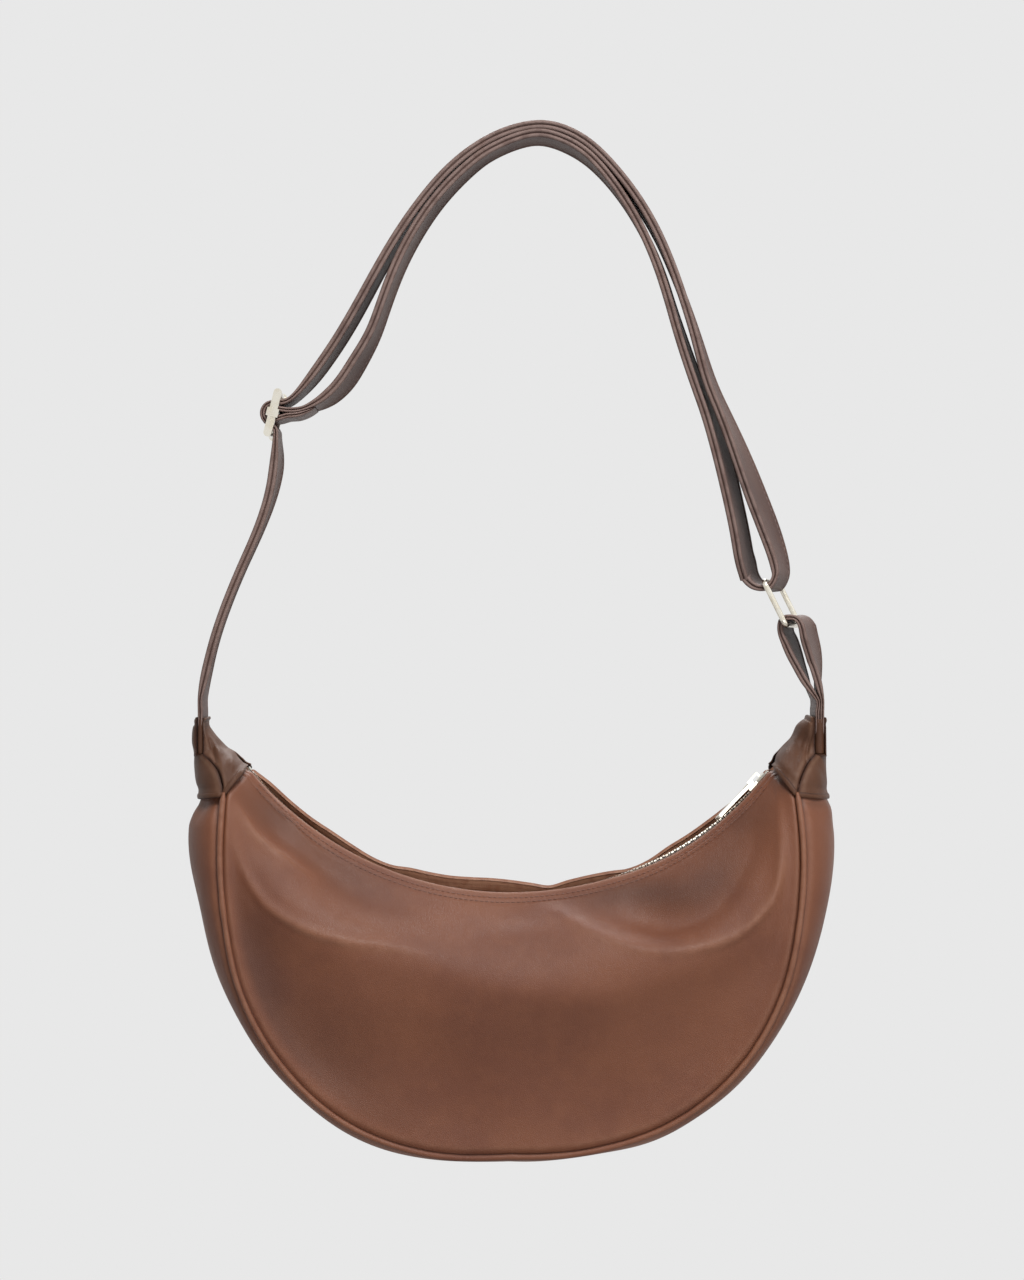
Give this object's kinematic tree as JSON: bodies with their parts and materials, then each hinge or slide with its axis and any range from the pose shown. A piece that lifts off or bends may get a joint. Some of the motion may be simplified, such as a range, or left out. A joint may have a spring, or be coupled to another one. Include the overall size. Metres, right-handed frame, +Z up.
{
  "type": "crescent shoulder bag",
  "caption": "Soft crescent leather shoulder bag with a curved top zip, leather horn caps and one long strap with a slide adjuster and a rectangular ring.",
  "frame": {"origin": "underside of the strap's crest, where the bag hangs from a hook or a shoulder", "axes": "+X the bag's right as seen from the front, +Y to the back, +Z up"},
  "size_m": [0.3223, 0.0816, 0.5186],
  "materials": {
    "body_leather": "smooth satin nappa, russet brown",
    "strap_leather": "smooth satin, folded with sewn edges",
    "lining_cloth": "woven twill",
    "zip_tape": "woven tape",
    "pale_gold_metal": "polished, pale gold plating"
  },
  "bodies": {
    "strap": {"shoulder_strap": "strap_leather", "tab_loop": "strap_leather", "adjuster_bar": "pale_gold_metal"},
    "bag": {"front_panel": "body_leather", "back_panel": "body_leather", "gusset": "body_leather", "piping_front": "body_leather", "piping_back": "body_leather", "cap_left_side": "body_leather", "cap_left_front": "body_leather", "cap_left_back": "body_leather", "cap_left_binding": "body_leather", "cap_right_side": "body_leather", "cap_right_front": "body_leather", "cap_right_back": "body_leather", "cap_right_binding": "body_leather", "lining_front": "lining_cloth", "lining_back": "lining_cloth", "lining_gusset": "lining_cloth", "zip_tape_front": "zip_tape", "zip_tape_back": "zip_tape", "zip_teeth_front": "pale_gold_metal", "zip_teeth_back": "pale_gold_metal", "zip_top_stops": "pale_gold_metal", "zip_bottom_stop": "pale_gold_metal"},
    "slider": {"zip_slider": "pale_gold_metal"},
    "puller": {"zip_puller": "pale_gold_metal"},
    "ring": {"rect_ring": "pale_gold_metal"},
    "adjuster": {"adjuster_frame": "pale_gold_metal"}
  },
  "joints": [
    {"name": "bag_swing", "type": "hinge", "parent": "strap", "child": "bag", "pos_m": [-0.0175, 0, -0.2935], "axis": [1, 0, 0], "range_deg": [-90, 90]},
    {"name": "zip_travel", "type": "hinge", "parent": "bag", "child": "slider", "pos_m": [-0.0175, 0, -0.21169], "axis": [0, 1, 0], "range_deg": [0, 97], "deforming": ["zip_teeth_front", "zip_teeth_back"]},
    {"name": "puller_swing", "type": "hinge", "parent": "slider", "child": "puller", "pos_m": [0.10346, 0, -0.32201], "axis": [0, 1, 0], "range_deg": [0, 165]},
    {"name": "ring_pivot", "type": "hinge", "parent": "strap", "child": "ring", "pos_m": [0.11328, 0.00188, -0.222], "axis": [-0.342, -0.9397, 0], "range_deg": [0, 5]},
    {"name": "adjuster_slide", "type": "slide", "parent": "strap", "child": "adjuster", "axis": [0.247, 0, 0.969], "range_m": [-0.0012, 0.0012]}
  ]
}
